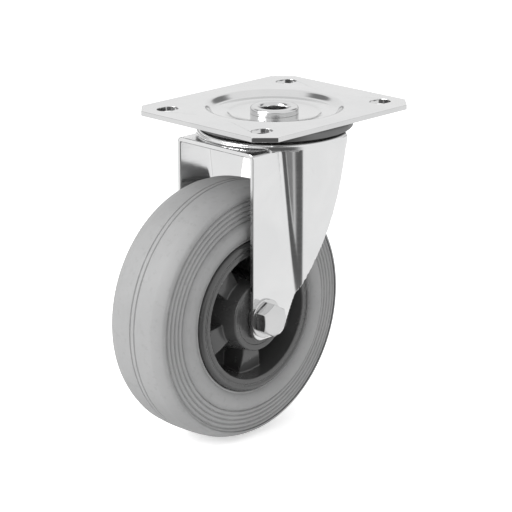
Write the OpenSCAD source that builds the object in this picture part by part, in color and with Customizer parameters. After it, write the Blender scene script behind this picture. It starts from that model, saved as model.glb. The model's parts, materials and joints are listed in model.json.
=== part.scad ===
// Swivel castor with a slotted top plate, a pressed steel fork with a double
// ball race head, and a solid rubber tyre on a moulded plastic wheel centre.
// Origin: centre of the plate's top face, on the swivel axis.
// +X runs along the plate's long side, the wheel trails towards -X, and the
// axle lies along Y. Millimetres, +Z up.

/* [Top plate] */
// Length of the plate, along the rolling direction
plate_l = 136; // [132:1:144]
// Width of the plate
plate_w = 116; // [110:1:120]
// Sheet thickness of the plate
plate_t = 3; // [2.5:0.25:3.25]
// Corner chamfer of the plate
plate_chamfer = 11; // [8:1:14]
// Hole spacing along the plate
hole_x = 105; // [102:1:108]
// Hole spacing across the plate
hole_y = 80; // [76:1:84]
// Width of a slotted hole
slot_w = 11; // [9:0.5:12]
// End-to-end length of a slotted hole
slot_l = 14; // [13:0.5:15]

/* [Swivel head] */
// Depth of the pressed recess in the plate
recess_d = 3.4; // [3:0.1:3.6]
// Outer radius of the pressed recess
recess_r = 43.5; // [42.5:0.5:44]
// Bore radius of the hollow kingpin
pin_bore_r = 8.5; // [7.5:0.25:9]
// Ball radius of the upper race
upper_ball_r = 3.175; // [3:0.025:3.2]
// Ball radius of the lower race
lower_ball_r = 3.175; // [3:0.025:3.2]
// Balls in the upper race
upper_balls_n = 36; // [24:1:36]
// Balls in the lower race
lower_balls_n = 20; // [14:1:20]

/* [Fork] */
// Distance between the outer faces of the fork's front strips
fork_w = 65; // [64.5:0.5:66]
// Sheet thickness of the fork
fork_t = 3; // [2.5:0.25:3]
// Distance from the swivel axis forward to the fork's front edge
fork_front = 52; // [50:1:54]
// Outer radius of the fork's crown
crown_r = 48; // [47:0.25:48.25]
// Trail: offset of the axle from the swivel axis
trail = 42; // [40:1:43]

/* [Wheel] */
// Diameter of the tyre
wheel_d = 160; // [156:1:162]
// Height of the whole castor, floor to plate top
total_h = 200; // [200:1:205]
// Half width of the tyre at its bulge
tyre_half_w = 26; // [25:0.5:26.5]
// Half length of the hub
hub_half_l = 28.3; // [28:0.1:28.6]
// Spokes of the wheel centre
spokes_n = 5; // [4:1:6]

/* [Axle] */
// Width across flats of the bolt head and nut
hex_af = 18; // [18:1:19]
// Rollers in the hub bearing
rollers_n = 12; // [8:1:13]

/* [Hidden] */
$fn = 96;
run_gap = 0.05;               // radial clearance of a running fit
axle_x = -trail;
axle_z = wheel_d / 2 - total_h;

// Swivel head levels, down from the plate's top face
floor_z = -recess_d - 1.2;    // floor of the recess round the kingpin head
ring_r = 28;                  // small step between recess ring and floor
pin_head_r = 15;
pin_head_z = -0.4;
pin_shank_r = 11.8;
pin_flange_r = 17;
upper_pitch_r = 38;
upper_ball_z = -11.4;
lower_pitch_r = 21.5;
crown_top_z = -12.6;
crown_web_z = -13;
race_r = upper_ball_r + 0.1;  // groove radius round a ball
lower_ball_z = crown_web_z - fork_t + 0.55 - lower_ball_r;
dish_top_z = lower_ball_z - 1.6;
dish_bottom_z = lower_ball_z - lower_ball_r - 2.6;
pin_bottom_z = dish_bottom_z - 2.2;
crown_wall = 3;
flat_z = -16;                 // top of the crown's flat front
leg_top_z = flat_z - 1;
cup_lip_z = -11.4;
cup_r = 48.5;
crown_rear_r = 44.5;          // the crown is trimmed to this radius behind the legs
crown_rear_x = 18;

// Fork legs
leg_y = fork_w / 2;
joggle_x = -27.2;             // front line of the bulged panel at leg_top_z
joggle_slope = 0.127;         // drift of that line towards the rear, per mm down
ramp = 0.35;                  // drift towards the rear of the joggle's ramp, per mm outwards
panel_taper = 0.11;           // loss of panel radius, per mm down
leg_bottom_z = axle_z - 14;
merge_z = -104;               // below this the leg is one flat strip
rear_pts = [[17, leg_top_z + 4], [17, -62], [-2, -80], [-25, leg_bottom_z + 3]];
corner_r = 8;                 // rounded front corner at the foot of a leg

// Axle
bolt_r = 6;
bolt_gap = 0.1;               // radial clearance round the bolt
washer_r = 12;
washer_t = 1.6;
head_h = 7.5;
nut_h = 10;
nut_collar_h = 2.4;           // round end of the nut that holds the lock ring
lock_ring_t = 1.35;           // radial thickness of the lock ring
sleeve_r = 10;
sleeve_half_l = leg_y - fork_t - run_gap;
roller_r = 2.2;
roller_pitch_r = sleeve_r + run_gap + roller_r;
hub_bore_r = roller_pitch_r + roller_r + run_gap;
roller_half_l = 23;

// Wheel centre and tyre
hub_r = 21.5;
counterbore_r = 17.6;
seat_r = 47.8;
key_r = 51.5;
key_half_w = 5;
rim_half_w = 26.3;
web_half_t = 3;
spoke_half_d = 19;
tread_r = wheel_d / 2;
side_half_w = 22;
ridges_n = 5;

// Points of an arc round [cx, cy] from angle a0 to a1
function arc(cx, cy, r, a0, a1, n) =
    [for (i = [0:n]) let (a = a0 + (a1 - a0) * i / n) [cx + r * cos(a), cy + r * sin(a)]];

// Point of a cubic Bezier curve at t
function bezier(p, t) =
    pow(1 - t, 3) * p[0] + 3 * pow(1 - t, 2) * t * p[1]
    + 3 * (1 - t) * t * t * p[2] + pow(t, 3) * p[3];

// Smooth slope of the plate's pressing: radius r_out at the top down to depth d
function slope(r_out, run, z_top, d, n) =
    [for (i = [0:n]) [r_out - run * i / n, z_top - d * (1 - cos(180 * i / n)) / 2]];

// A tube of revolution about Y, at the axle, between two Y values
module axle_tube(r_in, r_out, y0, y1) {
    translate([axle_x, y0, axle_z])
        rotate([-90, 0, 0])
            difference() {
                cylinder(r = r_out, h = y1 - y0);
                translate([0, 0, -1])
                    cylinder(r = r_in, h = y1 - y0 + 2);
            }
}

// A hexagon prism about Y, at the axle, between two Y values
module axle_hex(af, y0, y1) {
    translate([axle_x, y0, axle_z])
        rotate([-90, 30, 0])
            cylinder(d = af / cos(30), h = y1 - y0, $fn = 6);
}

// Revolves a half section, points [radius, y], about the axle
module about_axle(points) {
    translate([axle_x, 0, axle_z])
        rotate([-90, 0, 0])
            rotate_extrude($fn = 120)
                polygon(points);
}

module plate_outline() {
    hx = plate_l / 2;
    hy = plate_w / 2;
    c = plate_chamfer;
    polygon([[hx - c, hy], [-hx + c, hy], [-hx, hy - c], [-hx, -hy + c],
             [-hx + c, -hy], [hx - c, -hy], [hx, -hy + c], [hx, hy - c]]);
}

module slot() {
    half = (slot_l - slot_w) / 2;
    for (s = [-1, 1])
        translate([s * half, 0, -plate_t - 1])
            cylinder(d = slot_w, h = plate_t + 2, $fn = 48);
    translate([-half, -slot_w / 2, -plate_t - 1])
        cube([2 * half, slot_w, plate_t + 2]);
}

module mounting_plate() {
    run = 6;
    top = concat([[0, 1], [recess_r, 1]], slope(recess_r, run, 0, recess_d, 8),
                 [[ring_r + 1, -recess_d - 0.2], [ring_r - 0.3, floor_z], [0, floor_z]]);
    under = concat([[0, -1], [recess_r + 0.8, -1]],
                   slope(recess_r + 0.8, run, -plate_t + 0.01, recess_d, 8),
                   [[ring_r + 1.6, -recess_d - 0.2 - plate_t],
                    [ring_r + 0.4, floor_z - plate_t], [0, floor_z - plate_t]]);
    color("gainsboro")
        difference() {
            union() {
                translate([0, 0, -plate_t])
                    linear_extrude(plate_t)
                        plate_outline();
                rotate_extrude()
                    polygon(under);
            }
            rotate_extrude()
                polygon(top);
            translate([0, 0, floor_z - plate_t - 1])
                cylinder(r = pin_shank_r + run_gap, h = plate_t + 3);
            for (sx = [-1, 1], sy = [-1, 1])
                translate([sx * hole_x / 2, sy * hole_y / 2, 0])
                    slot();
        }
}

module upper_race_cup() {
    color("silver")
        rotate_extrude()
            polygon(concat([[31.5, -9]],
                           arc(upper_pitch_r, upper_ball_z, race_r, 133, 35, 8),
                           [[43.6, -9.2], [45.5, -10.2], [46.5, cup_lip_z]],
                           [[cup_r - 0.3, cup_lip_z], [cup_r, cup_lip_z + 0.3]],
                           arc(cup_r - 4, -9, 4, 0, 80, 6),
                           [[43.2, -5.3], [41, -6.1], [38.5, -6.8], [31.5, -7.1]]));
}

module race_seal() {
    color("dimgray")
        rotate_extrude()
            polygon([[43.7, -9.6], [45.2, -10.4], [45.7, -10.9], [45.7, -12.4], [43.7, -12.45]]);
}

module kingpin() {
    color("gainsboro")
        rotate_extrude()
            polygon(concat([[pin_bore_r, pin_bottom_z]],
                           arc(pin_bore_r + 2, pin_head_z - 2, 2, 180, 90, 4),
                           arc(pin_head_r - 1.8, pin_head_z - 1.8, 1.8, 90, 0, 4),
                           [[pin_head_r, floor_z + 0.02], [pin_shank_r, floor_z + 0.02],
                            [pin_shank_r, dish_bottom_z - 0.02],
                            [pin_flange_r - 1, dish_bottom_z - 0.02],
                            [pin_flange_r, dish_bottom_z - 1], [pin_flange_r, pin_bottom_z]]));
}

module lower_race_dish() {
    rim = 25.2;
    color("silver")
        rotate_extrude()
            polygon(concat([[pin_shank_r + run_gap, dish_bottom_z],
                            [pin_shank_r + run_gap, dish_top_z]],
                           arc(lower_pitch_r, lower_ball_z, race_r, -150, -25, 8),
                           [[rim, lower_ball_z + 0.8], [rim + 2, lower_ball_z + 0.8],
                            [rim + 2, dish_bottom_z + 3], [rim, dish_bottom_z]]));
}

module ball_ring(n, pitch_r, z, r) {
    for (i = [0:n - 1])
        rotate([0, 0, 360 * i / n])
            translate([pitch_r, 0, z])
                sphere(r = r, $fn = 24);
}

module upper_balls() {
    color("slategray")
        ball_ring(upper_balls_n, upper_pitch_r, upper_ball_z, upper_ball_r);
}

module lower_balls() {
    color("slategray")
        ball_ring(lower_balls_n, lower_pitch_r, lower_ball_z, lower_ball_r);
}

// Crown section: a cup upside down, with a groove under the upper balls
module crown() {
    difference() {
        crown_ring();
        translate([crown_rear_x, -60, flat_z - fork_t - 1])
            difference() {
                cube([60, 120, 10]);
                translate([-crown_rear_x, 60, -1])
                    cylinder(r = crown_rear_r, h = 12);
            }
    }
}

module crown_ring() {
    hole_r = 13.2;
    wall_in = crown_r - crown_wall;
    edge_r = 2.4;
    rotate_extrude()
        polygon(concat([[hole_r, crown_web_z], [upper_pitch_r - 2.9, crown_web_z]],
                       arc(upper_pitch_r, upper_ball_z, race_r, -150, -30, 8),
                       arc(crown_r - edge_r, crown_top_z - edge_r, edge_r, 90, 0, 5),
                       [[crown_r, flat_z - fork_t], [wall_in, flat_z - fork_t],
                        [wall_in, crown_top_z - 4.8]],
                       [[upper_pitch_r + 2, upper_ball_z - race_r - fork_t]],
                       [[upper_pitch_r - 2, upper_ball_z - race_r - fork_t]],
                       [[upper_pitch_r - 4.6, crown_web_z - fork_t]],
                       arc(lower_pitch_r, lower_ball_z, race_r, 51, 129, 6),
                       [[hole_r, crown_web_z - fork_t]]));
}

// Flat front part of the crown, between the legs
module crown_flat() {
    difference() {
        translate([-fork_front, -leg_y, flat_z - fork_t])
            cube([fork_front, fork_w, fork_t]);
        translate([0, 0, flat_z - fork_t - 1])
            cylinder(r = crown_r - 1.5, h = fork_t + 2);
    }
}

// The solid that the legs' sheet wraps round, shrunk by inset
module leg_form(inset) {
    deep = leg_top_z - leg_bottom_z + 10;
    slab_x0 = -fork_front - 20;
    // front slab, up to the joggle line
    intersection() {
        translate([slab_x0, -leg_y + inset, leg_top_z - deep])
            cube([60 + fork_front, fork_w - 2 * inset, deep]);
        union() {
            joggle_space(inset)
                translate([-200, -100])
                    square([200, 200]);
            translate([slab_x0, -leg_y, leg_top_z - deep])
                cube([100 + fork_front, fork_w, deep + merge_z - leg_top_z]);
        }
    }
    // bulged panel behind the joggle line
    intersection() {
        translate([0, 0, leg_top_z - deep])
            cylinder(r1 = crown_r - 0.05 - panel_taper * deep - inset,
                     r2 = crown_r - 0.05 - inset, h = deep);
        joggle_space(inset)
            ramp_plan();
    }
}

// A plan drawn from the joggle line, raised along that line's lean
module joggle_space(inset) {
    tilt = atan(joggle_slope);
    translate([joggle_x + inset, 0, leg_top_z])
        rotate([0, -tilt, 0])
            translate([0, 0, -200])
                linear_extrude(260)
                    children();
}

// Plan of the space behind the joggle, its two ramps leaning outwards
module ramp_plan() {
    reach = 30;
    polygon([[-ramp * leg_y, 0], [ramp * reach, leg_y + reach], [200, leg_y + reach],
             [200, -leg_y - reach], [ramp * reach, -leg_y - reach]]);
}

// Side view of a leg, drawn in X and Z
module leg_outline() {
    n = 14;
    front = -fork_front;
    polygon(concat([[front, leg_top_z], [front, leg_bottom_z + corner_r]],
                   arc(front + corner_r, leg_bottom_z + corner_r, corner_r, 180, 270, 5),
                   [[-28, leg_bottom_z]],
                   [for (i = [n:-1:0]) bezier(rear_pts, i / n)],
                   [[17, leg_top_z]]));
}

module leg_prism() {
    translate([0, 60, 0])
        rotate([90, 0, 0])
            linear_extrude(120)
                leg_outline();
}

module fork() {
    color("gainsboro")
        difference() {
            union() {
                crown();
                crown_flat();
                intersection() {
                    difference() {
                        leg_form(0);
                        leg_form(fork_t);
                    }
                    leg_prism();
                }
            }
            translate([axle_x, -60, axle_z])
                rotate([-90, 0, 0])
                    cylinder(r = bolt_r + bolt_gap, h = 120);
        }
}

module axle_bolt() {
    y_head = -leg_y - washer_t;
    y_end = leg_y + washer_t + nut_h + 2;
    color("silver") {
        axle_hex(hex_af, y_head - head_h, y_head);
        axle_tube(0.5, bolt_r, y_head - 1, y_end);
    }
}

module bolt_washer() {
    color("silver")
        axle_tube(bolt_r + 2 * bolt_gap, washer_r, -leg_y - washer_t, -leg_y);
}

module nut_washer() {
    color("silver")
        axle_tube(bolt_r + 2 * bolt_gap, washer_r, leg_y, leg_y + washer_t);
}

module axle_nut() {
    y0 = leg_y + washer_t;
    color("silver")
        difference() {
            union() {
                axle_hex(hex_af, y0, y0 + nut_h - nut_collar_h);
                axle_tube(bolt_r, hex_af / 2 - 0.6, y0 + 1, y0 + nut_h);
            }
            axle_tube(0, bolt_r + run_gap, y0 - 1, y0 + nut_h + 1);
            axle_tube(0, bolt_r + lock_ring_t + run_gap, y0 + nut_h - nut_collar_h, y0 + nut_h - 0.4);
        }
}

module nut_lock_ring() {
    y0 = leg_y + washer_t + nut_h - nut_collar_h;
    color("white")
        axle_tube(bolt_r + run_gap, bolt_r + lock_ring_t, y0 + run_gap, y0 + 1.95);
}

module axle_sleeve() {
    color("silver")
        axle_tube(bolt_r + bolt_gap, sleeve_r, -sleeve_half_l, sleeve_half_l);
}

// Half section of the tyre, from its seat on the wheel centre to mid tread
function tyre_half() =
    concat([[key_r + 0.05, 0], [key_r + 0.05, key_half_w + 0.05],
            [seat_r + 0.05, key_half_w + 0.05], [seat_r + 0.05, 22.2]],
           arc(55, tyre_half_w - 8, 8, 130, 60, 6),
           [for (i = [0:2 * ridges_n])
               let (r = 62.5 + 12.5 * i / (2 * ridges_n))
               [r, side_half_w + 1.6 * (75 - r) / 12.5 - (i % 2 == 0 ? 0 : 0.5)]],
           arc(tread_r - 5.2, side_half_w - 2.6, 2.6, 80, 30, 3),
           [[tread_r - 1.4, 17], [tread_r, 11.5], [tread_r, 2], [tread_r - 0.6, 1.7],
            [tread_r, 1.4], [tread_r, 0]]);

module tyre() {
    half = tyre_half();
    n = len(half);
    color("darkgray")
        about_axle(concat(half, [for (i = [n - 2:-1:1]) [half[i][0], -half[i][1]]]));
}

// Half section of the wheel centre, from the hub bore to the tyre seat
function centre_half() =
    [[hub_bore_r, 0], [hub_bore_r, hub_half_l - 1.8], [counterbore_r, hub_half_l - 1.8],
     [counterbore_r, hub_half_l], [hub_r - 1, hub_half_l], [hub_r, hub_half_l - 1],
     [24.5, 8], [26, web_half_t], [36, web_half_t], [36.8, 4.5],
     [40, rim_half_w - 0.8], [40.6, rim_half_w], [43, rim_half_w], [43.5, rim_half_w - 0.7],
     [44, rim_half_w - 0.3], [46, rim_half_w - 0.6], [47.4, rim_half_w - 1.8],
     [seat_r, rim_half_w - 3.4], [seat_r, key_half_w], [key_r, key_half_w], [key_r, 0]];

module spoke() {
    inner_half = 6;
    outer_half = 9.5;
    linear_extrude(2 * spoke_half_d, center = true)
        polygon([[17.8, -inner_half], [42, -outer_half], [42, outer_half], [17.8, inner_half]]);
}

module wheel_centre() {
    half = centre_half();
    n = len(half);
    first_spoke = 58;
    color("#26282a") {
        about_axle(concat(half, [for (i = [n - 2:-1:1]) [half[i][0], -half[i][1]]]));
        translate([axle_x, 0, axle_z])
            rotate([90, 0, 0])
                for (i = [0:spokes_n - 1])
                    rotate([0, 0, first_spoke + 360 * i / spokes_n])
                        spoke();
    }
}

module bearing_washer(side) {
    y0 = hub_half_l - 1.75;
    y1 = hub_half_l - 0.25;
    color("#26282a")
        axle_tube(sleeve_r + 0.4, counterbore_r - run_gap, side < 0 ? -y1 : y0, side < 0 ? -y0 : y1);
}

module bearing_washer_near() {
    bearing_washer(-1);
}

module bearing_washer_far() {
    bearing_washer(1);
}

module roller_cage() {
    color("#26282a")
        difference() {
            axle_tube(sleeve_r + 0.7, hub_bore_r - 0.7, -roller_half_l - 2, roller_half_l + 2);
            roller_ring(0.08);
        }
}

module roller_ring(grow) {
    translate([axle_x, 0, axle_z])
        rotate([-90, 0, 0])
            for (i = [0:rollers_n - 1])
                rotate([0, 0, 360 * i / rollers_n])
                    translate([roller_pitch_r, 0, -roller_half_l - grow])
                        cylinder(r = roller_r - 0.02 + grow, h = 2 * (roller_half_l + grow), $fn = 32);
}

module rollers() {
    color("silver")
        roller_ring(0);
}

mounting_plate();
upper_race_cup();
race_seal();
kingpin();
lower_race_dish();
upper_balls();
lower_balls();
fork();
axle_bolt();
bolt_washer();
axle_nut();
nut_lock_ring();
nut_washer();
axle_sleeve();
tyre();
wheel_centre();
bearing_washer_near();
bearing_washer_far();
roller_cage();
rollers();
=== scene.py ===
"""Swivel castor: looks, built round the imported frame. Lengths are in millimetres until a mesh is made."""
import bpy
import bmesh
import json
import math
import numpy as np
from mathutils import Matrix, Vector


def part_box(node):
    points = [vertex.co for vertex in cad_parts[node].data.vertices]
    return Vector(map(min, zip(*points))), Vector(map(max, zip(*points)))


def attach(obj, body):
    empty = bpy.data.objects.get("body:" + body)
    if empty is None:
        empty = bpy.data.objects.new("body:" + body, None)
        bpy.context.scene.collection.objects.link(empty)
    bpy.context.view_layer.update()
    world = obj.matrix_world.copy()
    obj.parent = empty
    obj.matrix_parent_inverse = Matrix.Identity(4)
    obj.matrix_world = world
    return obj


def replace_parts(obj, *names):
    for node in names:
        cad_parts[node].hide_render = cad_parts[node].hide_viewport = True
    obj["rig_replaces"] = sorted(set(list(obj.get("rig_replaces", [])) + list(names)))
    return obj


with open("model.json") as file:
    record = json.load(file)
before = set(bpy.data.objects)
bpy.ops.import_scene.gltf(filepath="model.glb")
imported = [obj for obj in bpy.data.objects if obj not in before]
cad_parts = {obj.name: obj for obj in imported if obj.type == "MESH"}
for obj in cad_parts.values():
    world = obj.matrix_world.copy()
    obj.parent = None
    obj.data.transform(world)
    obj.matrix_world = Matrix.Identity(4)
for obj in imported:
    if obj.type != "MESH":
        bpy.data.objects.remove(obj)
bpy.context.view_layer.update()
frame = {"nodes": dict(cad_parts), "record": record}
MM = 0.001


# ---------------------------------------------------------------- sizes from the frame

def box_mm(node):
    """Lowest and highest corner of a CAD node, in millimetres."""
    lo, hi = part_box(node)
    return np.array(lo) / MM, np.array(hi) / MM


_, plate_hi = box_mm("mounting_plate")
fork_lo, fork_hi = box_mm("fork")
tyre_lo, tyre_hi = box_mm("tyre")
_, hub_hi = box_mm("wheel_centre")
sleeve_lo, sleeve_hi = box_mm("axle_sleeve")
washer_lo, washer_hi = box_mm("bolt_washer")
bolt_lo, bolt_hi = box_mm("axle_bolt")
nut_lo, nut_hi = box_mm("axle_nut")
cup_lo, cup_hi = box_mm("upper_race_cup")
pin_lo, pin_hi = box_mm("kingpin")
seal_lo, seal_hi = box_mm("race_seal")

AXLE = (sleeve_lo + sleeve_hi) / 2
TYRE_R = (tyre_hi[2] - tyre_lo[2]) / 2 - 0.03  # just inside the CAD's flat facets
TYRE_HALF_W = tyre_hi[1]
HUB_HALF_L = hub_hi[1]
LEG_Y = -washer_hi[1]
FORK_FRONT = fork_lo[0]
CROWN_TOP = fork_hi[2]
LEG_BOTTOM = fork_lo[2]
PLATE_T = 3.0
SHEET = 3.0
CROWN_R = 48.0
FLAT_Z = -16.0
UPPER_PITCH_R, UPPER_BALL_Z = 38.0, -11.4
LOWER_PITCH_R, LOWER_BALL_Z = 21.5, -18.63
BALL_GROOVE_R = 3.275
PIN_SHANK_R = 11.8
BOLT_R = 6.0


# ---------------------------------------------------------------- distance fields

def round_max(a, b, r):
    """Intersection of two fields, with the edge rounded to radius r."""
    u = np.maximum(r + a, 0.0)
    v = np.maximum(r + b, 0.0)
    return np.minimum(-r, np.maximum(a, b)) + np.hypot(u, v)


def round_min(a, b, r):
    """Union of two fields, with a fillet of radius r."""
    return -round_max(-a, -b, r)


def bezier(points, t):
    """Points of a cubic Bezier curve."""
    p = np.array(points, float)
    t = np.asarray(t, float)[:, None]
    return (1 - t) ** 3 * p[0] + 3 * (1 - t) ** 2 * t * p[1] + 3 * (1 - t) * t * t * p[2] + t ** 3 * p[3]


def polygon_field(px, pz, corners):
    """Signed distance from points to a closed polygon, negative inside."""
    a = np.array(corners, float)
    b = np.roll(a, -1, axis=0)
    best = np.full(px.shape, 1e9)
    inside = np.zeros(px.shape, bool)
    for (ax, az), (bx, bz) in zip(a, b):
        ex, ez = bx - ax, bz - az
        wx, wz = px - ax, pz - az
        t = np.clip((wx * ex + wz * ez) / max(ex * ex + ez * ez, 1e-12), 0, 1)
        best = np.minimum(best, np.hypot(wx - ex * t, wz - ez * t))
        crosses = (az > pz) != (bz > pz)
        slope = np.where(crosses, ex * (pz - az) / (ez if ez else 1e-9) + ax, 0)
        inside ^= crosses & (px < slope)
    return np.where(inside, -best, best)


def gradient(field, p, h=0.02):
    """Central differences of a field at points p."""
    g = np.empty_like(p)
    for k in range(3):
        step = np.zeros(3)
        step[k] = h
        g[:, k] = (field(p + step) - field(p - step)) / (2 * h)
    return g


# ---------------------------------------------------------------- mesh helpers

def add_object(name, mesh):
    ob = bpy.data.objects.new(name, mesh)
    bpy.context.scene.collection.objects.link(ob)
    return ob


def smooth(mesh, angle=35):
    """Smooth shading, with edges sharper than the angle kept crisp."""
    mesh.shade_smooth()
    mesh.set_sharp_from_angle(angle=math.radians(angle))


def remesh(ob, voxel):
    """Replaces the object's mesh by even quads that follow it."""
    mod = ob.modifiers.new("grid", "REMESH")
    mod.mode = "VOXEL"
    mod.voxel_size = voxel * MM
    graph = bpy.context.evaluated_depsgraph_get()
    mesh = bpy.data.meshes.new_from_object(ob.evaluated_get(graph))
    ob.modifiers.clear()
    old = ob.data
    ob.data = mesh
    bpy.data.meshes.remove(old)


def relax(mesh, p, weight):
    """Moves every vertex towards the middle of its neighbours."""
    edges = np.empty(len(mesh.edges) * 2, np.int32)
    mesh.edges.foreach_get("vertices", edges)
    a, b = edges[0::2], edges[1::2]
    total = np.zeros_like(p)
    count = np.zeros(len(p))
    for i, j in ((a, b), (b, a)):
        for k in range(3):
            total[:, k] += np.bincount(i, p[j, k], len(p))
        count += np.bincount(i, minlength=len(p))
    middle = total / np.maximum(count, 1)[:, None]
    return p + weight * (middle - p)


def project(mesh, field, rounds, relax_weight):
    """Slides the vertices onto the zero level of the field, evenly spread."""
    p = np.empty(len(mesh.vertices) * 3)
    mesh.vertices.foreach_get("co", p)
    p = p.reshape(-1, 3) / MM
    for k in range(rounds):
        if k < rounds - 2:
            p = relax(mesh, p, relax_weight)
        for _ in range(2):
            g = gradient(field, p)
            step = field(p)[:, None] * g / np.maximum((g * g).sum(1), 0.2)[:, None]
            length = np.linalg.norm(step, axis=1)[:, None]
            p = p - step * np.minimum(1, 1.0 / np.maximum(length, 1e-9))
    mesh.vertices.foreach_set("co", (p * MM).ravel())
    mesh.update()
    return p


def field_piece(name, node, field, voxel, body):
    """A fine mesh of a distance field, started from the CAD node it stands for."""
    ob = add_object(name, frame["nodes"][node].data.copy())
    remesh(ob, voxel)
    project(ob.data, field, 4, 0.5)
    remesh(ob, voxel)
    p = project(ob.data, field, 5, 0.4)
    n = gradient(field, p)
    n = n / np.maximum(np.linalg.norm(n, axis=1), 1e-9)[:, None]
    ob.data.shade_smooth()
    ob.data.normals_split_custom_set_from_vertices(n.tolist())
    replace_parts(ob, node)
    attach(ob, body)
    return ob


def arc(cx, cy, r, a0, a1, n):
    """Points of an arc, angles in degrees."""
    angles = [math.radians(a0 + (a1 - a0) * i / n) for i in range(n + 1)]
    return [(cx + r * math.cos(a), cy + r * math.sin(a)) for a in angles]


def lathe(name, profile, centre, axis, segments=256):
    """A closed ring whose section is the loop of (radius, height) points."""
    bm = bmesh.new()
    rings = []
    for i in range(segments):
        a = 2 * math.pi * i / segments
        c, s = math.cos(a), math.sin(a)
        ring = []
        for r, h in profile:
            local = (r * c, r * s, h) if axis == "Z" else (r * c, h, r * s)
            ring.append(bm.verts.new([(centre[k] + local[k]) * MM for k in range(3)]))
        rings.append(ring)
    n = len(profile)
    for i in range(segments):
        here, there = rings[i], rings[(i + 1) % segments]
        for j in range(n):
            k = (j + 1) % n
            bm.faces.new((here[j], here[k], there[k], there[j]))
    bmesh.ops.recalc_face_normals(bm, faces=bm.faces)
    mesh = bpy.data.meshes.new(name)
    bm.to_mesh(mesh)
    bm.free()
    smooth(mesh)
    return add_object(name, mesh)


def lathe_piece(name, node, body, profile, centre, axis, segments=256):
    ob = lathe(name, profile, centre, axis, segments)
    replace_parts(ob, node)
    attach(ob, body)
    return ob


# ---------------------------------------------------------------- the fork

JOGGLE_X = -27.2
JOGGLE_SLOPE = 0.127
PANEL_TAPER = 0.11
MERGE_Z = -104.0
LEG_TOP = FLAT_Z - 1
REAR_CURVE = [(17, LEG_TOP + 4), (17, -62), (-2, -80), (-25, LEG_BOTTOM + 3)]
CROWN_EDGE_R = 2.4
RAMP = 0.35
REAR_TRIM_X = 18.0
REAR_TRIM_R = 44.5
PIN_HOLE_R = 13.2
BEND_R = 3.0


def leg_side_outline():
    """The leg seen from the side, in X and Z."""
    corner = 8.0
    front = [(FORK_FRONT, LEG_TOP + 12), (FORK_FRONT, LEG_BOTTOM + corner)]
    foot = arc(FORK_FRONT + corner, LEG_BOTTOM + corner, corner, 180, 270, 8)
    heel = arc(-30.5, LEG_BOTTOM + 7, 7, 270, 330, 5)
    rear = bezier(REAR_CURVE, np.linspace(0.96, 0, 26)).tolist()
    return front + foot + heel + rear + [(17, LEG_TOP + 12)]


SIDE_OUTLINE = leg_side_outline()


def fork_form(x, ay, z, rho):
    """The closed form that the fork's sheet wraps round."""
    tilt = 1 / math.hypot(1, JOGGLE_SLOPE)
    behind = (x - JOGGLE_X - JOGGLE_SLOPE * (LEG_TOP - z)) * tilt
    flat_bend = 3.5
    slab = round_max(ay - LEG_Y, z - FLAT_Z, flat_bend)
    front_slab = np.maximum(slab, behind - 6)
    low_slab = np.maximum(slab, z - MERGE_Z - 6)
    panel_r = CROWN_R - PANEL_TAPER * np.maximum(LEG_TOP - z, 0)
    ramp = ((ay - LEG_Y) * RAMP - behind) / math.hypot(1, RAMP)
    panel = round_max((rho - panel_r) * 0.995, ramp, BEND_R)
    panel = np.maximum(panel, z - FLAT_Z - 1)
    disc = round_max(rho - CROWN_R, z - CROWN_TOP, CROWN_EDGE_R)
    disc = np.maximum(disc, FLAT_Z - 1.2 - z)
    form = np.minimum(round_min(front_slab, panel, BEND_R), low_slab)
    form = np.minimum(form, round_min(front_slab, disc, 1.0))
    groove = np.hypot(rho - UPPER_PITCH_R, z - UPPER_BALL_Z) - BALL_GROOVE_R
    return np.maximum(form, -groove)


def fork_field(p):
    """The sheet round the closed form, kept where the crown and the legs are."""
    x, y, z = p[:, 0], p[:, 1], p[:, 2]
    ay = np.abs(y)
    rho = np.hypot(x, y)
    form = fork_form(x, ay, z, rho)
    sheet = np.abs(form + SHEET / 2) - SHEET / 2
    crown_zone = FLAT_Z - SHEET - z
    legs = polygon_field(x, z, SIDE_OUTLINE)
    keep = round_min(crown_zone, legs, 5.0)
    keep = np.maximum(keep, FORK_FRONT - x)
    keep = np.maximum(keep, round_min(x - REAR_TRIM_X, rho - REAR_TRIM_R, 3.0))
    body = round_max(sheet, keep, 0.45)
    body = round_max(body, PIN_HOLE_R - rho, 0.5)
    lower_groove = np.hypot(rho - LOWER_PITCH_R, z - LOWER_BALL_Z) - BALL_GROOVE_R
    body = np.maximum(body, -lower_groove)
    axle_hole = np.hypot(x - AXLE[0], z - AXLE[2]) - BOLT_R - 0.1
    return np.maximum(body, -axle_hole)


def make_fork():
    return field_piece("fork_pressing", "fork", fork_field, 0.9, "swivel_fork")


# ---------------------------------------------------------------- the wheel centre

SEAT_R = 47.8
KEY_R = 51.5
KEY_HALF_W = 5.0
RIM_HALF_W = 26.3
WEB_HALF = 3.0
SPOKES = 5
FIRST_SPOKE = math.radians(58)
HUB_R = 21.5
COUNTERBORE_R = 17.6
COUNTERBORE_D = 1.8
RIM_INNER_R = 36.4
FACE_LINE_R = 43.6
BORE_R = 14.5


def rim_field(rho, ay):
    """Tapered ring that carries the tyre, with a fine line turned in its face."""
    inner = (RIM_INNER_R + 0.15 * (ay - WEB_HALF) - rho) * 0.99
    rim = round_max(round_max(inner, ay - RIM_HALF_W, 0.7), rho - SEAT_R, 2.6)
    line = np.hypot(rho - FACE_LINE_R, ay - RIM_HALF_W - 0.2) - 0.75
    rim = round_max(rim, -line, 0.3)
    key = np.maximum(rho - KEY_R, ay - KEY_HALF_W)
    return rim, np.maximum(key, 40 - rho)


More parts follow.
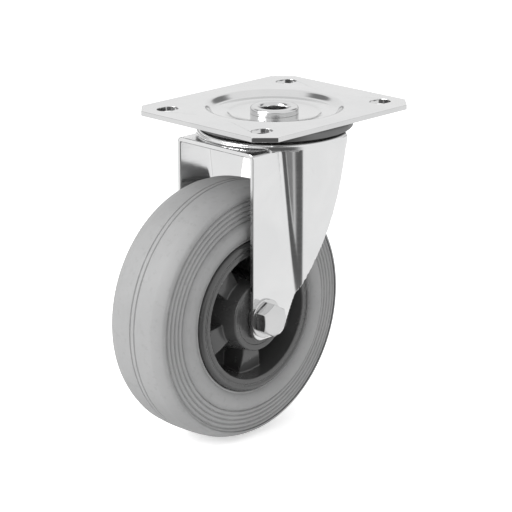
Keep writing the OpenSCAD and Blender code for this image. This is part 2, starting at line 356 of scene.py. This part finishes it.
def spoke_field(x, z, rho, ay):
    """Spokes that widen outwards, their faces dipping towards the rim."""
    pitch = 2 * math.pi / SPOKES
    angle = np.arctan2(z, x) - FIRST_SPOKE
    angle = (angle + pitch / 2) % pitch - pitch / 2
    u, v = rho * np.cos(angle), rho * np.sin(angle)
    half = 6.0 + 0.19 * (u - 20)
    face = 19.0 - 0.012 * np.maximum(u - 24, 0) ** 2
    spoke = round_max((np.abs(v) - half) * 0.98, ay - face, 0.7)
    return np.maximum(spoke, np.maximum(18 - u, u - 43))


def centre_field(p):
    x = p[:, 0] - AXLE[0]
    z = p[:, 2] - AXLE[2]
    ay = np.abs(p[:, 1])
    rho = np.hypot(x, z)
    hub = round_max(rho - HUB_R - 0.15 * (HUB_HALF_L - ay), ay - HUB_HALF_L, 1.0)
    web = np.maximum(ay - WEB_HALF, rho - 44)
    rim, key = rim_field(rho, ay)
    body = round_min(hub, web, 2.0)
    body = round_min(body, rim, 1.5)
    body = np.minimum(body, key)
    body = round_min(body, spoke_field(x, z, rho, ay), 0.8)
    body = round_max(body, BORE_R - rho, 0.3)
    pocket = np.maximum(rho - COUNTERBORE_R, HUB_HALF_L - COUNTERBORE_D - ay)
    return np.maximum(body, -pocket)


def make_wheel_centre():
    return field_piece("wheel_centre_moulding", "wheel_centre", centre_field, 0.8, "wheel")


# ---------------------------------------------------------------- the tyre

def tyre_profile():
    """The tyre's section as a loop of (radius, y) points."""
    crest = TYRE_HALF_W - 8
    half = [(KEY_R + 0.05, 0), (KEY_R + 0.05, KEY_HALF_W + 0.05), (SEAT_R + 0.05, KEY_HALF_W + 0.05)]
    half += [(SEAT_R + 0.05, 12), (SEAT_R + 0.05, 22.6)]
    half += arc(SEAT_R + 1.65, 22.6, 1.6, 180, 120, 4)
    half += arc(55, crest, 8, 135, 62, 18)
    half += side_points()
    half += arc(TYRE_R - 6.0, TYRE_HALF_W - 6.4, 3.0, 84, 38, 9)
    half += shoulder_points()
    half += groove_points(1.7, 0.6)
    half += [(TYRE_R, 0)]
    return half + [(r, -y) for r, y in half[-2:0:-1]]


def side_points():
    """Five fine ridges round the sidewall."""
    ridges, first, pitch, height = 5, 60.6, 2.9, 0.9
    points = []
    steps = 12
    for i in range(ridges * steps + 1):
        r = first + pitch * i / steps
        wave = height * (1 - abs(math.cos(math.pi * i / steps)) ** 6)
        points.append((r, TYRE_HALF_W - 2.6 - 0.11 * (r - first) + wave - height))
    return points


def shoulder_points():
    """Shoulder facet, a crisp corner, then the gently crowned tread."""
    points = [(77.7, 18.9), (78.95, 15.6), (79.12, 15.0), (79.24, 14.3)]
    for i in range(9):
        y = 13.4 - 10.4 * i / 8
        points.append((TYRE_R - 0.66 * ((y - 3) / 10.4) ** 2, y))
    return points


def groove_points(y, half):
    """A small V groove round the tread."""
    return [(TYRE_R, y + half), (TYRE_R - 0.15, y + half * 0.8), (TYRE_R - 0.7, y),
            (TYRE_R - 0.15, y - half * 0.8), (TYRE_R, y - half)]


def make_tyre():
    centre = (AXLE[0], AXLE[1], AXLE[2])
    return lathe_piece("tyre_moulding", "tyre", "wheel", tyre_profile(), centre, "Y", 320)


# ---------------------------------------------------------------- the top plate

HOLE_X = 105.0
HOLE_Y = 80.0
SLOT_W = 11.0
SLOT_L = 14.0
CHAMFER = 11.0
BLEND_R = 46.0
RECESS_R = 43.5
RECESS_D = 3.4
RECESS_RUN = 6.0
HEAD_FLOOR = -RECESS_D - 1.2


def plate_section(offset, depth, z0):
    """Radius and height down the pressed recess, from the flat rim to the kingpin's hole."""
    points = [(BLEND_R, z0)]
    steps = 14
    for i in range(steps + 1):
        t = i / steps
        r = RECESS_R + offset - RECESS_RUN * t
        points.append((r, z0 - depth * (1 - math.cos(math.pi * t)) / 2))
    points += [(33.5 + offset, z0 - depth - 0.1), (29.6 + offset * 0.8, z0 - depth - 0.2)]
    points += [(28.8 + offset * 0.8, z0 - depth - 0.45), (27.9 + offset * 0.6, z0 - depth - 1.0)]
    points += [(27.0 + offset * 0.6, z0 - depth - 1.2), (20, z0 - depth - 1.2)]
    points += [(PIN_SHANK_R + 0.05, z0 - depth - 1.2)]
    return points


def slot_loop(cx, cy):
    half = (SLOT_L - SLOT_W) / 2
    right = arc(cx + half, cy, SLOT_W / 2, -90, 90, 20)
    left = arc(cx - half, cy, SLOT_W / 2, 90, 270, 20)
    return right + left


def plate_loops():
    hx, hy, c = plate_hi[0], plate_hi[1], CHAMFER
    outline = [(hx - c, hy), (-hx + c, hy), (-hx, hy - c), (-hx, -hy + c),
               (-hx + c, -hy), (hx - c, -hy), (hx, -hy + c), (hx, hy - c)]
    slots = [slot_loop(sx * HOLE_X / 2, sy * HOLE_Y / 2) for sx in (-1, 1) for sy in (-1, 1)]
    return outline, slots


def loop_edges(bm, points, z):
    verts = [bm.verts.new((x * MM, y * MM, z * MM)) for x, y in points]
    edges = [bm.edges.new((verts[i], verts[(i + 1) % len(verts)])) for i in range(len(verts))]
    return verts, edges


def join_loops(bm, one, other):
    """A band of faces between two equal loops of vertices."""
    for i in range(len(one)):
        j = (i + 1) % len(one)
        bm.faces.new((one[i], one[j], other[j], other[i]))


def rim_face(bm, outline, slots, circle, z):
    """Flat face round the slots; returns the loops of its sides and its inner rim."""
    loops = [loop_edges(bm, points, z) for points in [outline] + slots]
    rim, rim_edges = loop_edges(bm, circle, z)
    edges = [edge for _, loop in loops for edge in loop] + rim_edges
    bmesh.ops.triangle_fill(bm, edges=edges, use_beauty=True, use_dissolve=False)
    return [verts for verts, _ in loops], rim


def pressing(bm, rim, circle, offset, z0):
    """Turned skin of the recess, down to the kingpin's hole; returns its last ring."""
    last = rim
    for r, z in plate_section(offset, RECESS_D, z0)[1:]:
        k = r / BLEND_R * MM
        ring = [bm.verts.new((x * k, y * k, z * MM)) for x, y in circle]
        join_loops(bm, last, ring)
        last = ring
    return last


def bevel_edges(ob):
    bevel = ob.modifiers.new("sheared_edges", "BEVEL")
    bevel.limit_method = "ANGLE"
    bevel.angle_limit = math.radians(40)
    bevel.width = 0.35 * MM
    bevel.segments = 3
    bevel.harden_normals = True


def make_plate():
    """A flat rim filled round the slots, and a turned pressing in the middle."""
    bm = bmesh.new()
    outline, slots = plate_loops()
    circle = arc(0, 0, BLEND_R, 0, 360, 192)[:-1]
    top_sides, top_rim = rim_face(bm, outline, slots, circle, 0.0)
    under_sides, under_rim = rim_face(bm, outline, slots, circle, -PLATE_T)
    for top, under in zip(top_sides, under_sides):
        join_loops(bm, top, under)
    top_hole = pressing(bm, top_rim, circle, 0.0, 0.0)
    under_hole = pressing(bm, under_rim, circle, 0.8, -PLATE_T)
    join_loops(bm, top_hole, under_hole)
    bmesh.ops.recalc_face_normals(bm, faces=bm.faces)
    mesh = bpy.data.meshes.new("top_plate")
    bm.to_mesh(mesh)
    bm.free()
    smooth(mesh, 40)
    ob = add_object("top_plate", mesh)
    bevel_edges(ob)
    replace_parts(ob, "mounting_plate")
    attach(ob, "root")
    return ob


# ---------------------------------------------------------------- swivel head rings

def make_kingpin():
    """Hollow rivet: rounded head above, spun-over flange below."""
    bore = 8.5
    head_r, head_z = pin_hi[0] - 2.0, pin_hi[2]
    flange_r, low = pin_hi[0], pin_lo[2]
    profile = [(bore, low + 0.8), (bore, head_z - 2.4)]
    profile += arc(bore + 2.4, head_z - 2.4, 2.4, 180, 90, 10)
    profile += arc(head_r - 1.6, head_z - 1.6, 1.6, 90, 0, 8)
    profile += [(head_r, HEAD_FLOOR + 0.1), (PIN_SHANK_R, HEAD_FLOOR + 0.03), (PIN_SHANK_R, low + 2.2)]
    profile += [(flange_r - 1.2, low + 2.2)]
    profile += arc(flange_r - 1.0, low + 1.0, 1.0, 90, -90, 8)
    profile += [(bore + 1, low)]
    return lathe_piece("kingpin_rivet", "kingpin", "root", profile, (0, 0, 0), "Z", 128)


def make_race_cup():
    """Pressed ring under the plate, with a skirt over the crown's edge."""
    lip = cup_lo[2]
    outer = cup_hi[0]
    profile = [(31.5, -9.0), (34.8, -9.0)]
    profile += arc(UPPER_PITCH_R, UPPER_BALL_Z, BALL_GROOVE_R, 133, 40, 10)
    profile += [(43.6, -9.2), (45.5, -10.2), (46.3, lip + 0.2), (46.6, lip), (outer - 0.5, lip)]
    profile += arc(outer - 0.5, lip + 0.5, 0.5, -60, 0, 3)
    profile += arc(outer - 4, -9, 4, 2, 80, 16)
    profile += [(43.2, -5.3), (41, -6.1), (38.5, -6.8), (31.5, -7.1)]
    return lathe_piece("race_cup_ring", "upper_race_cup", "root", profile, (0, 0, 0), "Z", 256)


def make_seal():
    lo, hi = seal_lo[2], seal_hi[2]
    profile = [(43.7, -9.6), (45.2, -10.4), (45.7, -10.9), (45.7, lo + 0.4), (45.4, lo), (43.9, lo)]
    return lathe_piece("dust_seal", "race_seal", "root", profile, (0, 0, 0), "Z", 192)


def make_dish():
    """Pressed ring under the lower balls, held by the kingpin's flange."""
    lo, hi = box_mm("lower_race_dish")
    low, rim = lo[2], hi[0]
    bore = PIN_SHANK_R + 0.05
    profile = [(bore, low), (bore, -20.3), (bore + 0.4, -20.2), (18.0, -20.2)]
    profile += arc(LOWER_PITCH_R, LOWER_BALL_Z, BALL_GROOVE_R, -145, -25, 10)
    profile += [(rim - 2.0, -17.9)] + arc(rim - 0.9, -18.7, 0.9, 100, 0, 5)
    profile += arc(rim - 2.2, low + 3.0, 2.2, 0, -60, 6) + [(rim - 3.2, low)]
    return lathe_piece("race_dish_ring", "lower_race_dish", "root", profile, (0, 0, 0), "Z", 192)


# ---------------------------------------------------------------- axle hardware

HEX_AF = 18.0
NUT_COLLAR_H = 2.4
NUT_COLLAR_R = 8.4
NECK_H = 0.6
NECK_R = HEX_AF / 2 - 0.9
DISH_R = 34.8


def hex_field(q, y0, y1, chamfer_end, cone_r):
    """Hexagon prism along Y from y0 to y1, its corners turned down at one end."""
    x, y, z = q[:, 0], q[:, 1], q[:, 2]
    flats = np.full(x.shape, -1e9)
    for k in range(3):
        a = math.radians(60 * k)
        flats = np.maximum(flats, np.abs(x * math.cos(a) + z * math.sin(a)) - HEX_AF / 2)
    prism = round_max(flats, np.maximum(y0 - y, y - y1), 0.15)
    rho = np.hypot(x, z)
    away = (y - y0) if chamfer_end < 0 else (y1 - y)
    cone = (rho - cone_r - away * 1.9) * 0.47
    return round_max(prism, cone, 0.25)


def bolt_field(p):
    q = p - AXLE
    y = q[:, 1]
    rho = np.hypot(q[:, 0], q[:, 2])
    head_y0, head_y1, shank_end = bolt_lo[1], washer_lo[1], bolt_hi[1]
    head = hex_field(q, head_y0, head_y1, -1, HEX_AF / 2 - 0.3)
    dish = np.hypot(rho, y - head_y0 + DISH_R - 0.6) - DISH_R
    head = np.maximum(head, -dish)
    head = np.maximum(head, np.minimum(rho - NECK_R, y - head_y1 + NECK_H) * 0.7)
    shank = np.maximum(rho - BOLT_R, head_y1 - 1 - y)
    tip = (rho - BOLT_R + 1 - (shank_end - y)) * 0.707
    shank = np.maximum(shank, np.maximum(tip, y - shank_end))
    return np.minimum(head, np.maximum(shank, 0.5 - rho))


def nut_field(p):
    q = p - AXLE
    y0, y1 = nut_lo[1], nut_hi[1]
    collar_y = y1 - NUT_COLLAR_H
    body = hex_field(q, y0, collar_y, 1, HEX_AF / 2 - 0.2)
    rho = np.hypot(q[:, 0], q[:, 2])
    collar = round_max(rho - NUT_COLLAR_R, np.maximum(y0 + 1 - q[:, 1], q[:, 1] - y1), 0.7)
    solid = round_min(body, collar, 0.6)
    seat = np.maximum(rho - NUT_COLLAR_R + 1, np.maximum(collar_y - q[:, 1], q[:, 1] - y1 + 0.4))
    solid = np.maximum(solid, BOLT_R + 0.05 - rho)
    return np.maximum(solid, -seat)


def make_bolt():
    return field_piece("axle_bolt_forged", "axle_bolt", bolt_field, 0.35, "swivel_fork")


def make_nut():
    return field_piece("lock_nut_forged", "axle_nut", nut_field, 0.3, "swivel_fork")


def washer_profile(y0, y1, r_in, r_out):
    e = 0.25
    profile = [(r_in, y0 + e), (r_in, y1 - e), (r_in + e, y1), (r_out - e, y1)]
    return profile + [(r_out, y1 - e), (r_out, y0 + e), (r_out - e, y0), (r_in + e, y0)]


def make_washers():
    centre = tuple(AXLE)
    made = []
    for name, node in (("washer_near", "bolt_washer"), ("washer_far", "nut_washer")):
        lo, hi = box_mm(node)
        profile = washer_profile(lo[1], hi[1], BOLT_R + 0.2, (hi[0] - lo[0]) / 2)
        made.append(lathe_piece(name, node, "swivel_fork", profile, centre, "Y", 96))
    return made


# ---------------------------------------------------------------- material helpers

class Tree:
    """Short calls for building a node tree."""

    def __init__(self, tree):
        self.tree = tree

    def add(self, kind, **settings):
        node = self.tree.nodes.new(kind)
        for key, value in settings.items():
            setattr(node, key, value)
        return node

    def put(self, socket, value):
        if isinstance(value, bpy.types.NodeSocket):
            self.tree.links.new(value, socket)
        else:
            socket.default_value = value

    def remap(self, value, lo, hi, to_lo, to_hi, kind="LINEAR"):
        node = self.add("ShaderNodeMapRange", clamp=True, interpolation_type=kind)
        self.put(node.inputs["Value"], value)
        for key, number in (("From Min", lo), ("From Max", hi), ("To Min", to_lo), ("To Max", to_hi)):
            node.inputs[key].default_value = number
        return node.outputs["Result"]

    def maths(self, kind, a, b=0.0):
        node = self.add("ShaderNodeMath", operation=kind)
        self.put(node.inputs[0], a)
        self.put(node.inputs[1], b)
        return node.outputs[0]

    def dot(self, a, b):
        node = self.add("ShaderNodeVectorMath", operation="DOT_PRODUCT")
        self.put(node.inputs[0], a)
        self.put(node.inputs[1], b)
        return node.outputs["Value"]


class Nodes(Tree):
    """One material's node tree."""

    def __init__(self, name):
        self.mat = bpy.data.materials.new(name)
        self.mat.use_nodes = True
        super().__init__(self.mat.node_tree)
        self.bsdf = self.tree.nodes["Principled BSDF"]
        self.where = self.add("ShaderNodeTexCoord").outputs["Object"]

    def stretched(self, scale):
        node = self.add("ShaderNodeMapping")
        self.put(node.inputs["Vector"], self.where)
        node.inputs["Scale"].default_value = scale
        return node.outputs["Vector"]

    def noise(self, scale, detail=3.0, rough=0.55, vector=None, distortion=0.0):
        node = self.add("ShaderNodeTexNoise")
        self.put(node.inputs["Vector"], vector or self.where)
        node.inputs["Scale"].default_value = scale
        node.inputs["Detail"].default_value = detail
        node.inputs["Roughness"].default_value = rough
        node.inputs["Distortion"].default_value = distortion
        return node.outputs["Fac"]

    def cells(self, scale):
        node = self.add("ShaderNodeTexVoronoi", feature="F1")
        self.put(node.inputs["Vector"], self.where)
        node.inputs["Scale"].default_value = scale
        return node.outputs["Distance"]

    def mix(self, factor, a, b):
        node = self.add("ShaderNodeMix", data_type="RGBA")
        self.put(node.inputs[0], factor)
        self.put(node.inputs[6], a)
        self.put(node.inputs[7], b)
        return node.outputs[2]

    def bump(self, height, strength, distance):
        node = self.add("ShaderNodeBump")
        self.put(node.inputs["Height"], height)
        node.inputs["Strength"].default_value = strength
        node.inputs["Distance"].default_value = distance
        self.put(self.bsdf.inputs["Normal"], node.outputs["Normal"])

    def edges(self, radius):
        """0 on flat faces, rising to 1 on convex edges."""
        node = self.add("ShaderNodeBevel", samples=6)
        node.inputs["Radius"].default_value = radius
        face = self.add("ShaderNodeNewGeometry").outputs["Normal"]
        return self.remap(self.dot(node.outputs["Normal"], face), 0.995, 0.93, 0.0, 1.0)

    def set(self, **values):
        for key, value in values.items():
            self.put(self.bsdf.inputs[key.replace("_", " ")], value)


def grey(v, warm=0.0):
    """A grey, a little warmer or cooler."""
    return (v * (1 + warm), v, v * (1 - warm), 1)


# ---------------------------------------------------------------- materials

def zinc(name, tone, rough, grain, scratch=1.0):
    """Bright zinc plate on sheet steel: cloudy sheen, fine grain, handling scratches, edges paler from
    wear.
    """
    n = Nodes(name)
    cloud = n.noise(26, 4, 0.6, distortion=0.4)
    fine = n.noise(420, 2, 0.5)
    streak = n.noise(60, 3, 0.6, vector=n.stretched((1, 1, 9)))
    lines = n.noise(130, 2, 0.4, vector=n.stretched((0.35, 11, 1.2)), distortion=0.3)
    scratches = n.maths("MULTIPLY", n.remap(lines, 0.70, 0.78, 0.0, 1.0), scratch)
    pale_edges = n.maths("MULTIPLY", n.edges(0.0009), n.remap(n.noise(90, 2), 0.4, 0.6, 0.4, 1.0))
    base = n.mix(n.remap(cloud, 0.35, 0.68, 0, 1), grey(tone * 0.93, -0.004), grey(tone, 0.0))
    base = n.mix(n.maths("MULTIPLY", scratches, 0.35), base, grey(tone * 0.8))
    base = n.mix(n.maths("MULTIPLY", pale_edges, 0.5), base, grey(min(tone * 1.14, 0.97)))
    r = n.remap(cloud, 0.3, 0.7, rough * 0.82, rough * 1.22)
    r = n.maths("ADD", r, n.remap(streak, 0.35, 0.65, -0.02, 0.03))
    r = n.maths("ADD", r, n.maths("MULTIPLY", scratches, 0.10))
    n.set(Base_Color=base, Metallic=1.0, Roughness=r)
    height = n.maths("ADD", n.maths("MULTIPLY", fine, grain), n.maths("MULTIPLY", cloud, 0.6))
    height = n.maths("SUBTRACT", height, n.maths("MULTIPLY", scratches, 0.25))
    n.bump(height, 0.10, 0.00010)
    return n.mat


def polished_steel(name):
    n = Nodes(name)
    cloud = n.noise(60, 3)
    oil = n.remap(n.noise(140, 3, 0.6), 0.5, 0.62, 0, 1)
    base = n.mix(cloud, grey(0.52), grey(0.62))
    base = n.mix(n.maths("MULTIPLY", oil, 0.4), base, grey(0.4, 0.02))
    n.set(Base_Color=base, Metallic=1.0, Roughness=n.remap(cloud, 0.3, 0.7, 0.12, 0.26))
    n.bump(n.noise(500, 2), 0.2, 0.00005)
    return n.mat


def tyre_rubber(name):
    """Grey moulded rubber: bloom in clouds, fine pitting, paler scuffs on the tread's edges."""
    n = Nodes(name)
    cloud = n.noise(22, 5, 0.62, distortion=0.5)
    speck = n.noise(260, 3, 0.6)
    scuff = n.remap(n.noise(70, 4, 0.7), 0.54, 0.70, 0, 1)
    pale_edges = n.maths("MULTIPLY", n.edges(0.0014), scuff)
    base = n.mix(n.remap(cloud, 0.33, 0.67, 0, 1), grey(0.225, -0.004), grey(0.255, -0.002))
    base = n.mix(n.remap(speck, 0.56, 0.7, 0, 0.5), base, grey(0.20))
    base = n.mix(n.maths("MULTIPLY", pale_edges, 0.6), base, grey(0.36))
    r = n.remap(cloud, 0.3, 0.7, 0.50, 0.64)
    r = n.maths("ADD", r, n.maths("MULTIPLY", scuff, 0.06))
    n.set(Base_Color=base, Roughness=r, IOR=1.5)
    height = n.maths("ADD", n.maths("MULTIPLY", speck, 0.5), n.maths("MULTIPLY", n.noise(900, 1), 0.35))
    n.bump(height, 0.4, 0.00018)
    return n.mat


def seal_rubber(name):
    n = Nodes(name)
    cloud = n.noise(80, 4)
    dust = n.remap(n.noise(220, 4, 0.7), 0.5, 0.68, 0, 0.5)
    base = n.mix(dust, grey(0.03), grey(0.11, 0.02))
    n.set(Base_Color=base, Roughness=n.remap(cloud, 0.3, 0.7, 0.5, 0.75))
    n.bump(n.noise(600, 2), 0.3, 0.0001)
    return n.mat


def black_plastic(name):
    """Moulded polypropylene: fine spark texture, faint flow clouds, paler edges that are partly rubbed wear
    and partly a painted highlight.
    """
    n = Nodes(name)
    cloud = n.noise(30, 4, 0.6, distortion=0.8)
    grain = n.noise(700, 2, 0.5)
    speck = n.cells(900)
    scuff = n.remap(n.noise(85, 4, 0.7), 0.52, 0.68, 0, 1)
    # Paler edges: rubbed wear, brightened to grey 0.20 as a painted highlight along the spokes' rounded
    # edges.
    pale_edges = n.maths("MULTIPLY", n.edges(0.0008), n.remap(scuff, 0, 1, 0.35, 1))
    base = n.mix(cloud, grey(0.042, 0.0), grey(0.056, 0.0))
    base = n.mix(n.maths("MULTIPLY", pale_edges, 0.6), base, grey(0.20))
    r = n.remap(cloud, 0.3, 0.7, 0.18, 0.28)
    r = n.maths("ADD", r, n.maths("MULTIPLY", scuff, 0.06))
    n.set(Base_Color=base, Roughness=r, IOR=1.5, Coat_Weight=0.4, Coat_Roughness=0.08)
    height = n.maths("ADD", n.maths("MULTIPLY", grain, 0.5), n.maths("MULTIPLY", speck, 0.3))
    n.bump(height, 0.3, 0.00012)
    return n.mat


def nylon(name):
    n = Nodes(name)
    cloud = n.noise(70, 4)
    base = n.mix(cloud, (0.74, 0.72, 0.65, 1), (0.82, 0.80, 0.74, 1))
    n.set(Base_Color=base, Roughness=n.remap(cloud, 0.3, 0.7, 0.38, 0.5))
    n.bump(n.noise(500, 2), 0.2, 0.0001)
    return n.mat


def floor_material():
    n = Nodes("studio_floor")
    base = n.mix(n.noise(3, 3), (0.9, 0.9, 0.9, 1), (0.915, 0.915, 0.915, 1))
    n.set(Base_Color=base, Roughness=0.9)
    n.set(Emission_Color=(1, 1, 1, 1), Emission_Strength=0.45)
    return n.mat


# ---------------------------------------------------------------- build

PIECES = [
    make_plate(), make_race_cup(), make_seal(), make_kingpin(), make_dish(), make_fork(),
    make_bolt(), make_nut(), *make_washers(), make_tyre(), make_wheel_centre(),
]

FINISHES = {
    "zinc_plate": zinc("zinc_plate", 0.71, 0.12, 0.5),
    "zinc_fork": zinc("zinc_fork", 0.79, 0.15, 0.5),
    # zinc_race is a darker, rougher zinc: its low tone is partly the rings' own duller finish and partly
    # painted shade for where they sit under the plate.
    "zinc_race": zinc("zinc_race", 0.19, 0.42, 0.6),
    "zinc_fastener": zinc("zinc_fastener", 0.66, 0.15, 0.6, 0.6),
    "bearing_steel": polished_steel("bearing_steel"),
    "tyre_rubber": tyre_rubber("tyre_rubber"),
    "seal_rubber": seal_rubber("seal_rubber"),
    "black_plastic": black_plastic("black_plastic"),
    "nylon": nylon("nylon"),
}


def paint():
    """Every shown piece and carried-over node takes the finish of its node's slot in the record."""
    slots = {part["node"]: part["material_slot"] for part in frame["record"]["subparts"]}
    stand_in = {ob["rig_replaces"][0]: ob for ob in PIECES}
    for node, slot in slots.items():
        ob = stand_in.get(node, frame["nodes"][node])
        ob.data.materials.clear()
        ob.data.materials.append(FINISHES[slot])


paint()


# ---------------------------------------------------------------- studio

TARGET = Vector((-16.2, 0.0, -93.3)) * MM
PIXELS_PER_MM = 1.6125
CAMERA_DISTANCE = 1500.0
FLOOR_HALF = 8.0
FLOOR_GAP = 0.6

# Darker patches of the studio: direction, cosines where the patch starts and is full, light left in it
DARK_PATCHES = [
    ((-0.62, -0.75, -0.22), 0.80, 0.93, 0.12),
    ((-0.95, 0.09, -0.29), 0.86, 0.96, 0.25),
    ((0.856, -0.03, 0.513), 0.93, 0.985, 0.25),
    ((-0.18, 0.70, 0.69), 0.93, 0.985, 0.25),
]


def make_floor():
    """A pale floor just under the tyre, left out of mirror reflections."""
    half, z = FLOOR_HALF, (tyre_lo[2] - FLOOR_GAP) * MM
    mesh = bpy.data.meshes.new("studio_floor")
    corners = [(-half, -half, z), (half, -half, z), (half, half, z), (-half, half, z)]
    mesh.from_pydata(corners, [], [(0, 1, 2, 3)])
    mesh.materials.append(floor_material())
    floor = add_object("studio_floor", mesh)
    floor.visible_glossy = False


def view_direction(azimuth, elevation):
    """Unit vector from the object towards a place at that azimuth and elevation."""
    a, e = math.radians(azimuth), math.radians(elevation)
    return Vector((math.sin(a) * math.cos(e), -math.cos(a) * math.cos(e), math.sin(e)))


def aim(ob, azimuth, elevation, distance):
    """Puts an object at that place, looking at the target."""
    back = view_direction(azimuth, elevation)
    ob.location = TARGET + back * distance
    ob.rotation_mode = "QUATERNION"
    ob.rotation_quaternion = back.to_track_quat("Z", "Y")


def area_light(name, azimuth, elevation, distance, size, power):
    data = bpy.data.lights.new(name, "AREA")
    data.shape = "DISK"
    data.size = size
    data.energy = power
    aim(add_object(name, data), azimuth, elevation, distance)


def studio_light(t):
    """Brightness of the studio by direction: a dim floor, dark patches, a dark band at the back."""
    where = t.add("ShaderNodeTexCoord").outputs["Generated"]
    up = t.dot(where, (0, 0, 1))
    light = t.remap(up, -0.9, -0.45, 0.45, 1.0, "SMOOTHSTEP")
    for direction, start, full, level in DARK_PATCHES:
        patch = t.remap(t.dot(where, direction), start, full, 1.0, level, "SMOOTHSTEP")
        light = t.maths("MULTIPLY", light, patch)
    below = t.remap(up, -0.10, 0.0, 0.0, 1.0, "SMOOTHSTEP")
    above = t.remap(up, 0.07, 0.17, 1.0, 0.0, "SMOOTHSTEP")
    behind = t.remap(t.dot(where, (0.66, 0.75, 0)), 0.2, 0.6, 0.0, 1.0, "SMOOTHSTEP")
    band = t.maths("MULTIPLY", t.maths("MULTIPLY", below, above), behind)
    return t.maths("MULTIPLY", light, t.remap(band, 0.0, 1.0, 1.0, 0.25, "SMOOTHSTEP"))


def make_world():
    """White studio seen by the camera; reflections also find its darker corners."""
    world = bpy.data.worlds.new("studio")
    world.use_nodes = True
    t = Tree(world.node_tree)
    background = world.node_tree.nodes["Background"]
    background.inputs["Color"].default_value = (1, 1, 1, 1)
    mix = t.add("ShaderNodeMix")
    t.put(mix.inputs[0], t.add("ShaderNodeLightPath").outputs["Is Camera Ray"])
    t.put(mix.inputs[2], studio_light(t))
    t.put(mix.inputs[3], 1.0)
    t.put(background.inputs["Strength"], mix.outputs[0])
    bpy.context.scene.world = world


def make_camera():
    data = bpy.data.cameras.new("camera")
    data.sensor_width = 36
    data.lens = CAMERA_DISTANCE * PIXELS_PER_MM * data.sensor_width / 512
    data.clip_start, data.clip_end = 0.05, 50
    camera = add_object("camera", data)
    aim(camera, -45.8, 17.0, CAMERA_DISTANCE * MM)
    bpy.context.scene.camera = camera


make_floor()
make_world()
area_light("key", -108, 34, 1.6, 1.2, 24)
make_camera()
bpy.context.scene.view_settings.view_transform = "Standard"
